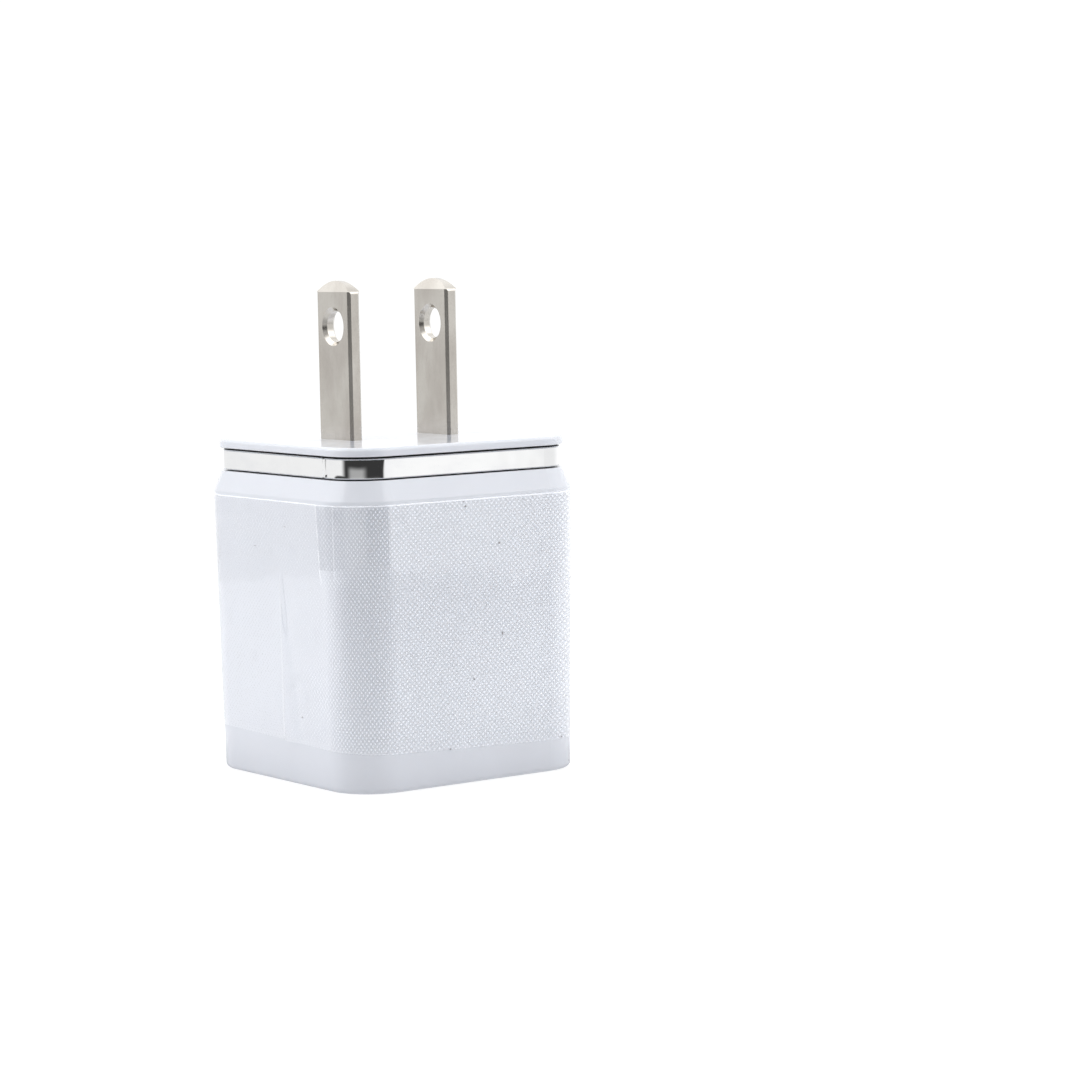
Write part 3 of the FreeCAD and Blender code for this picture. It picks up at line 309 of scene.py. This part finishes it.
def board_laminate(n):
    """Green solder mask over copper tracks that show as lighter bands."""
    tracks = n("TexBrick", None, Vector=n.place(0.3), Scale=1.0, Mortar_Size=0.06,
               Color1=(0.035, 0.2, 0.085, 1), Color2=(0.05, 0.25, 0.11, 1), Mortar=(0.02, 0.12, 0.055, 1))
    grain = n.math("MULTIPLY", n.noise(6.0, 3.0), 0.2)
    height = n.math("ADD", n("RGBToBW", None, i0=tracks), grain)
    rough = n.ramp(n.noise(2.0), 0.3, 0.7, 0.28, 0.4)
    return n("BsdfPrincipled", None, Base_Color=tracks, Roughness=rough, Normal=n.bump(height, 0.03))


def copper_wire(n):
    """Turns of enamelled wire side by side round the bobbin, painted darker in the grooves between turns as
    painted shade.
    """
    props = {"bands_direction": "Z", "wave_profile": "SIN"}
    turns_and_groove_shade = n("TexWave", props, Vector=n.place(), Scale=2.6, Distortion=0.4).outputs[1]
    # painted shade: the wire is painted darker where the turns' bump is low, in the grooves between them
    tone = n.mix(turns_and_groove_shade, (0.3, 0.11, 0.04, 1), (0.8, 0.38, 0.17, 1))
    rough = n.ramp(turns_and_groove_shade, 0, 1, 0.5, 0.22)
    return n("BsdfPrincipled", None, Base_Color=tone, Metallic=0.8, Roughness=rough, Coat_Weight=0.5,
             Normal=n.bump(turns_and_groove_shade, 0.08))


STRIPE_Z, STRIPE_HALF = 24.5, 0.9       # millimetres


def capacitor_sleeve(n):
    """Dark shrink sleeve with a pale stripe at one height."""
    where = n("SeparateXYZ", None, i0=n.place())
    stripe = n.math("COMPARE", where.outputs[2], STRIPE_Z, STRIPE_HALF)
    base = n.mix(n.noise(3.0, 3.0), (0.012, 0.016, 0.03, 1), (0.02, 0.028, 0.05, 1))
    tone = n.mix(n.math("MULTIPLY", stripe, 0.7), base, (0.45, 0.46, 0.48, 1))
    rough = n.ramp(n.noise(1.5), 0.3, 0.7, 0.22, 0.36)
    return n("BsdfPrincipled", None, Base_Color=tone, Roughness=rough, Normal=n.bump(n.noise(1.2, 3.0), 0.01))


MAKERS = {
    "white_plastic": white_plastic,
    "chrome_trim": chrome_trim,
    "nickel_plate": nickel_plate,
    "clear_film": clear_film,
    "board_laminate": board_laminate,
    "copper_wire": copper_wire,
    "capacitor_sleeve": capacitor_sleeve,
    # The rest by colour, roughness, metallic, grain, spread and relief.
    "contact_bronze": plain((0.86, 0.62, 0.3), 0.22, 1.0, 8.0, 0.08, 0.002),
    "tinned_steel": plain((0.6, 0.6, 0.6), 0.28, 1.0, 7.0, 0.1, 0.003),
    "port_plastic": plain((0.74, 0.74, 0.7), 0.42, 0.0, 5.0, 0.04, 0.006),
    "solder": plain((0.72, 0.73, 0.75), 0.2, 1.0, 4.0, 0.08, 0.02),
    "tinned_leads": plain((0.66, 0.66, 0.66), 0.3, 1.0, 9.0, 0.1, 0.003),
    "ferrite": plain((0.035, 0.035, 0.038), 0.62, 0.0, 9.0, 0.25, 0.02),
    "black_plastic": plain((0.02, 0.02, 0.022), 0.4, 0.0, 6.0, 0.2, 0.008),
    "yellow_tape": plain((0.8, 0.52, 0.06), 0.2, 0.0, 1.5, 0.06, 0.01),
    "capacitor_aluminium": plain((0.8, 0.81, 0.82), 0.3, 1.0, 5.0, 0.05, 0.004),
    "black_epoxy": plain((0.02, 0.02, 0.021), 0.55, 0.0, 14.0, 0.3, 0.012),
    "blue_coating": plain((0.03, 0.13, 0.4), 0.25, 0.0, 2.0, 0.1, 0.02),
    "resistor_coating": plain((0.25, 0.4, 0.36), 0.35, 0.0, 4.0, 0.1, 0.015),
    "chip_ceramic": plain((0.42, 0.34, 0.23), 0.5, 0.0, 8.0, 0.15, 0.006),
    "insulating_sheet": plain((0.72, 0.72, 0.68), 0.35, 0.0, 2.0, 0.04, 0.01),
}
MATERIALS = {name: material(name, make) for name, make in MAKERS.items()}


# ---- protective film ----------------------------------------------------------------------
FILM_GAP = 0.02 * MM
FILM_THICKNESS = 0.12 * MM
FILM_ROWS = 96
SIDE_STEPS = (84, 30, 30, 130)      # -Y, +X, +Y, -X: finer where the folds are
CORNER_STEPS = (20, 20, 24, 64)     # the corner after each side; the last is the front one
EDGE_Z, EDGE_SLOPE_X, EDGE_SLOPE_Y = 4.15 * MM, -1 / 30, 0.7 / 30

# The folds, in millimetres. The crease is a tent on -X that leans a little and widens downwards.
CREASE_Y, CREASE_TOP, CREASE_LENGTH, CREASE_HEIGHT, CREASE_LEAN = -1.6, 22.6, 18.5, 0.42, 0.02
# The pleat is on the front corner. It starts and ends by the distance past the corner's left tangent line.
PLEAT_LOW, PLEAT_HIGH, PLEAT_HEIGHT = 21.8, 31.0, 0.34
PLEAT_START, PLEAT_END, PLEAT_LEAN = -0.96, 1.55, 0.055
FOLD_START, FOLD_END, FOLD_HEIGHT = 1.45, 5.0, 0.13
# The blisters on -Y: x, height, half width and half height.
BLISTERS = ((6.6, 22.3, 0.95, 0.6), (5.1, 21.5, 0.75, 0.5), (6.7, 29.8, 0.6, 0.5), (10.3, 20.4, 0.5, 0.4))
BLISTER_HEIGHT, BLISTER_LEAN = 0.13, 0.4
SLACK, SLACK_CELLS = 0.012, 0.16        # how far the film wanders, and the cells of that a millimetre
REST_LIFT = 0.006       # how far the film stands off where nothing else lifts it
SHARP_ANGLE = math.radians(35)


def smooth(value, low, high):
    """0 below low, 1 above high, and an S between them."""
    t = min(1.0, max(0.0, (value - low) / (high - low)))
    return t * t * (3 - 2 * t)


def outline_point(side, share, angle, z, offset):
    """A point on the shell's outline at height z, grown outwards by offset, with its outward direction.

    share runs from -1 to 1 along a side. angle, in radians, runs round the corner after it.
    """
    half = BASE_HALF + (SHOULDER_HALF - BASE_HALF) * z / SHOULDER_Z
    flat = half - CORNER_R
    turn = math.pi / 2 * (side - 1)
    along = Vector((-math.sin(turn), math.cos(turn), 0))
    out = Vector((math.cos(turn), math.sin(turn), 0))
    if angle is None:
        return along * share * flat + out * (half + offset) + Vector((0, 0, z)), out
    way = Vector((math.cos(turn + angle), math.sin(turn + angle), 0))
    return (along + out) * flat + way * (CORNER_R + offset) + Vector((0, 0, z)), way


def crease(y, z):
    """Height, in millimetres, of the tent that runs down the -X side to the film's lower edge."""
    below = CREASE_TOP - z
    if below <= 0:
        return 0.0
    height = CREASE_HEIGHT * math.sqrt(min(1.0, below / CREASE_LENGTH))
    beside = CREASE_Y - CREASE_LEAN * below - y
    width = 0.25 + 0.16 * below if beside > 0 else 0.35 + 0.03 * below
    t = max(0.0, 1 - abs(beside) / width)
    return height * t * t * (3 - 2 * t)


def pleat(distance, z):
    """Height of the pleat on the front corner and of the low fold beside it."""
    share = smooth(z, PLEAT_LOW, PLEAT_LOW + 1.6)
    start = PLEAT_START + PLEAT_LEAN * (PLEAT_HIGH - z)
    rise = smooth(distance, start - 0.3, start)
    fall = 1 - smooth(distance, start - 0.4, PLEAT_END)
    fold = smooth(distance, FOLD_START, FOLD_START + 0.3)
    fold *= 1 - smooth(distance, FOLD_START + 0.35, FOLD_END)
    return share * (PLEAT_HEIGHT * rise * fall + FOLD_HEIGHT * fold)


def blister(x, z):
    """Height of the small air blisters on -Y."""
    total = 0.0
    for place, height, half_x, half_z in BLISTERS:
        across = (x - place) / half_x
        up = (z - height - BLISTER_LEAN * (x - place)) / half_z
        total += BLISTER_HEIGHT * max(0.0, 1 - across * across - up * up)
    return total


def film_lift(side, angle, point):
    """How far the film stands off the shell there, in metres."""
    x, y, z = point / MM
    wave = SLACK * noise.noise(Vector((x, y, z)) * SLACK_CELLS)
    if side == 3:
        past = -y - (SHOULDER_HALF - CORNER_R) / MM if angle is None else angle * CORNER_R / MM
        wave += pleat(past, z)
        if angle is None:
            wave += crease(y, z)
    if side == 0 and angle is None:
        wave += blister(x, z)
    return max(0.0, wave + REST_LIFT) * MM


def film_stations():
    """The places round the body where the film's columns stand, as (side, share, angle)."""
    stations = []
    for side in range(4):
        stations += [(side, 2 * i / SIDE_STEPS[side] - 1, None) for i in range(SIDE_STEPS[side])]
        stations += [(side, 1, math.pi / 2 * i / CORNER_STEPS[side]) for i in range(CORNER_STEPS[side])]
    return stations


def film_skin(bm, offset):
    """One skin of the film, offset from the shell, as columns of points from its askew lower edge up."""
    columns = []
    for side, share, angle in film_stations():
        foot, _ = outline_point(side, share, angle, EDGE_Z, offset)
        low = EDGE_Z + EDGE_SLOPE_X * foot.x + EDGE_SLOPE_Y * foot.y
        column = []
        for row in range(FILM_ROWS + 1):
            z = low + (FILM_TOP - low) * row / FILM_ROWS
            point, out = outline_point(side, share, angle, z, offset)
            column.append(bm.verts.new(point + out * film_lift(side, angle, point)))
        columns.append(column)
    return columns


def make_film():
    """The film as one closed sheet: an outer and an inner skin joined at the top and at the lower edge."""
    bm = bmesh.new()
    outer = film_skin(bm, FILM_GAP + FILM_THICKNESS)
    inner = film_skin(bm, FILM_GAP)
    for i in range(len(outer)):
        j = (i + 1) % len(outer)
        for row in range(FILM_ROWS):
            bm.faces.new((outer[i][row], outer[j][row], outer[j][row + 1], outer[i][row + 1]))
            bm.faces.new((inner[j][row], inner[i][row], inner[i][row + 1], inner[j][row + 1]))
        bm.faces.new((inner[i][0], inner[j][0], outer[j][0], outer[i][0]))
        bm.faces.new((outer[i][-1], outer[j][-1], inner[j][-1], inner[i][-1]))
    return make_piece("film", bm, "clear_film", ["protective_film"])


def make_piece(name, bm, slot, replaced):
    """A finished mesh object that rides on the charger and stands for CAD nodes."""
    mesh = bpy.data.meshes.new(name)
    bmesh.ops.recalc_face_normals(bm, faces=bm.faces)
    bm.to_mesh(mesh)
    bm.free()
    mesh.shade_smooth()
    mesh.set_sharp_from_angle(angle=SHARP_ANGLE)
    mesh.materials.append(MATERIALS[slot])
    piece = bpy.data.objects.new(name, mesh)
    bpy.context.scene.collection.objects.link(piece)
    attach(piece, BODY)
    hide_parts(*replaced)
    return piece


def dress_cad():
    """Every CAD node takes the material of its slot."""
    for part in frame["record"]["subparts"]:
        for slot in NODES[part["node"]].material_slots:
            slot.material = MATERIALS[part["material_slot"]]


# ---- stage --------------------------------------------------------------------------------
FLOOR_RADIUS = 0.19
FLOOR_Z = -0.02 * MM       # just clear of the USB face, so that the two never share a plane
CAMERA_AT = Vector((-0.20032, -0.29603, 0.05885))
CAMERA_YAW, CAMERA_PITCH, CAMERA_ROLL = 0.64015, 0.09558, -0.01816
FOCAL_PX, PHOTO_PX, SENSOR = 3273.7, 1080, 36.0
CAMERA_AZIMUTH = -34       # degrees from -Y towards +X
TOWARDS_CAMERA = (-0.56, -0.83)
FALLOFF_PAINT_START, FALLOFF_PAINT_FULL = 10, 110       # millimetres towards the camera over which the floor is painted darker, a painted falloff of light
CONTACT_SHADOW_PAINT_REACH = 16       # millimetres round the charger over which the floor is painted darker, a painted contact shadow


def make_camera():
    """The camera at the photograph's place, level apart from a slight roll."""
    level = math.cos(CAMERA_PITCH)
    forward = Vector((math.sin(CAMERA_YAW) * level, math.cos(CAMERA_YAW) * level, -math.sin(CAMERA_PITCH)))
    right = Vector((math.cos(CAMERA_YAW), -math.sin(CAMERA_YAW), 0))
    up = right.cross(forward)
    across = math.cos(CAMERA_ROLL) * right + math.sin(CAMERA_ROLL) * up
    upward = math.cos(CAMERA_ROLL) * up - math.sin(CAMERA_ROLL) * right
    data = bpy.data.cameras.new("camera")
    data.sensor_width = SENSOR
    data.lens = FOCAL_PX / PHOTO_PX * SENSOR
    data.clip_start, data.clip_end = 0.01, 10
    camera = bpy.data.objects.new("camera", data)
    axes = Matrix((across, upward, -forward)).transposed().to_4x4()
    camera.matrix_world = Matrix.Translation(CAMERA_AT) @ axes
    bpy.context.scene.collection.objects.link(camera)
    bpy.context.scene.camera = camera


def floor_surface(n):
    """Matt pale paper, painted greyer towards the camera as a painted falloff of light and darker round the
    charger as a painted contact shadow, with a lift that keeps it white in the picture. Its faint glow is
    painted weaker in the same places, as painted shade.

    It is there from above only, so that the lamp below reaches the underside of the charger.
    """
    x, y, _ = n("SeparateXYZ", None, i0=n.place()).outputs
    along_x = n.math("MULTIPLY", x, TOWARDS_CAMERA[0])
    along_y = n.math("MULTIPLY", y, TOWARDS_CAMERA[1])
    nearer = n.math("ADD", along_x, along_y)
    out = n.math("MAXIMUM", n.math("ABSOLUTE", x), n.math("ABSOLUTE", y))
    beside = n.math("SUBTRACT", out, BASE_HALF / MM)
    # painted shade: the paper is painted greyer towards the camera, a painted falloff of light, and darker
    # close round the charger, a painted contact shadow
    tone = n.mix(n.ramp(nearer, FALLOFF_PAINT_START, FALLOFF_PAINT_FULL), (0.64, 0.645, 0.65, 1), (0.39, 0.393, 0.4, 1))
    tone = n.mix(n.ramp(beside, 0, CONTACT_SHADOW_PAINT_REACH), (0.4, 0.402, 0.41, 1), tone)
    grain = n.mix(n.noise(0.05, 3.0), (0.97, 0.97, 0.975, 1), (1, 1, 1, 1))
    paper = n("Mix", {"data_type": "RGBA", "blend_type": "MULTIPLY"}, i0=1.0, i6=tone, i7=grain)
    matt = n("BsdfDiffuse", None, Color=paper.outputs[2])
    path = n("LightPath")
    # painted shade: the glow fades towards the camera and is weaker close round the charger; camera rays
    # alone get a further lift of 0.6
    glow = n.math("MULTIPLY", n.ramp(nearer, FALLOFF_PAINT_START, FALLOFF_PAINT_FULL, 0.16, 0.0),
                  n.ramp(beside, 0, CONTACT_SHADOW_PAINT_REACH, 0.4, 1.0))
    glow = n.math("ADD", glow, n.math("MULTIPLY", path.outputs["Is Camera Ray"], 0.6))
    lift = n("Emission", None, Color=(1, 1, 1, 1), Strength=glow)
    lifted = n("AddShader", None, i0=matt, i1=lift)
    away = n.math("MAXIMUM", n("NewGeometry").outputs["Backfacing"], path.outputs["Is Shadow Ray"])
    return n("MixShader", None, i0=away, i1=lifted, i2=n("BsdfTransparent"))


def make_floor():
    """A flat disc just below the charger."""
    mesh = bpy.data.meshes.new("floor")
    bm = bmesh.new()
    bmesh.ops.create_circle(bm, cap_ends=True, segments=96, radius=FLOOR_RADIUS)
    bm.to_mesh(mesh)
    bm.free()
    floor = bpy.data.objects.new("floor", mesh)
    mesh.materials.append(material("floor", floor_surface))
    floor.location.z = FLOOR_Z
    bpy.context.scene.collection.objects.link(floor)


def tent_opening(n, azimuth, elevation, low):
    """1 in the dark opening round the camera and 0 on the tent. Low down it reaches further to the left."""
    left = n.math("MAXIMUM", n.ramp(azimuth, -104, -87), n.math("MULTIPLY", low, n.ramp(azimuth, -143, -128)))
    sides = n.math("MULTIPLY", left, n.ramp(azimuth, 22, 14))
    return n.math("MULTIPLY", sides, n.ramp(elevation, 58, 38))


def tent_light(n, azimuth, elevation, low):
    """The tent's light: a wall that dims overhead, and a bright band above it at the left and the right."""
    right_side = n.ramp(azimuth, 75, 105, 1.6, 0.25)
    left_side = n.ramp(azimuth, -172, -155, 0.25, 2.2)
    side = n.mix(n.math("LESS_THAN", azimuth, CAMERA_AZIMUTH), right_side, left_side)
    band = n.math("MULTIPLY", n.ramp(elevation, 12, 40), n.ramp(elevation, 66, 50))
    wall = n.math("MULTIPLY", n.ramp(azimuth, 10, 30, 0.9, 1.0), n.ramp(azimuth, 35.5, 38, 1.0, 0.88))
    wall = n.math("MULTIPLY", wall, n.ramp(azimuth, 70, 110, 1.0, 1.25))
    wall = n.math("MULTIPLY", wall, n.ramp(elevation, 50, 66, 1.0, 0.6))
    dimmed = n.math("MULTIPLY", low, n.ramp(azimuth, -90, -120))
    whole = n.math("ADD", wall, n.math("MULTIPLY", band, side))
    return n.math("MULTIPLY", whole, n.ramp(dimmed, 0, 1, 1.0, 0.85))


def opening_light(n, azimuth, elevation):
    """What light comes through the opening: a grey patch at its lower left, and more below and above."""
    patch = n.math("MULTIPLY", n.ramp(azimuth, -86, -70), n.ramp(azimuth, -24, -44))
    patch = n.math("MULTIPLY", patch, n.ramp(elevation, -0.5, -3.0))
    light = n.math("ADD", n.math("MULTIPLY_ADD", patch, 0.36, 0.04), n.ramp(elevation, -5, -8, 0.0, 0.3))
    return n.math("ADD", light, n.ramp(elevation, 8, 22, 0.0, 0.55))


def make_world():
    """A white tent with a dark opening round the camera. The camera itself sees plain white instead.

    Azimuth is measured in degrees from -Y towards +X.
    """
    world = bpy.data.worlds.new("tent")
    bpy.context.scene.world = world
    world.use_nodes = True
    n = Nodes(world.node_tree)
    x, y, z = n("SeparateXYZ", None, i0=n("TexCoord").outputs["Generated"]).outputs
    azimuth = n.math("DEGREES", n.math("ARCTAN2", x, n.math("MULTIPLY", y, -1.0)))
    elevation = n.math("DEGREES", n.math("ARCSINE", z))
    low = n.ramp(elevation, -4.6, -5.2)
    opening = tent_opening(n, azimuth, elevation, low)
    light = n.mix(opening, tent_light(n, azimuth, elevation, low), opening_light(n, azimuth, elevation))
    seen = n("LightPath").outputs["Is Camera Ray"]
    shown = n("Background", None, Color=(1, 1, 1, 1), Strength=1.05)
    lit = n("Background", None, Color=(0.985, 0.99, 1.0, 1), Strength=light)
    n("OutputWorld", None, Surface=n("MixShader", None, i0=seen, i1=lit, i2=shown))


def make_lamp(name, place, target, size, watts):
    """A square soft light that the camera doesn't see."""
    data = bpy.data.lights.new(name, "AREA")
    data.size = size
    data.energy = watts
    lamp = bpy.data.objects.new(name, data)
    lamp.location = place
    lamp.rotation_euler = (Vector(target) - Vector(place)).to_track_quat("-Z", "Y").to_euler()
    lamp.visible_camera = False
    bpy.context.scene.collection.objects.link(lamp)


def make_stage():
    """Camera, floor, tent and the lamp that lights the USB face through the floor."""
    make_camera()
    make_floor()
    make_world()
    make_lamp("below", (0, 0, -0.35), (0, 0, 0), 0.3, 0.6)
    bpy.context.scene.view_settings.view_transform = "Standard"


dress_cad()
make_film()
make_stage()
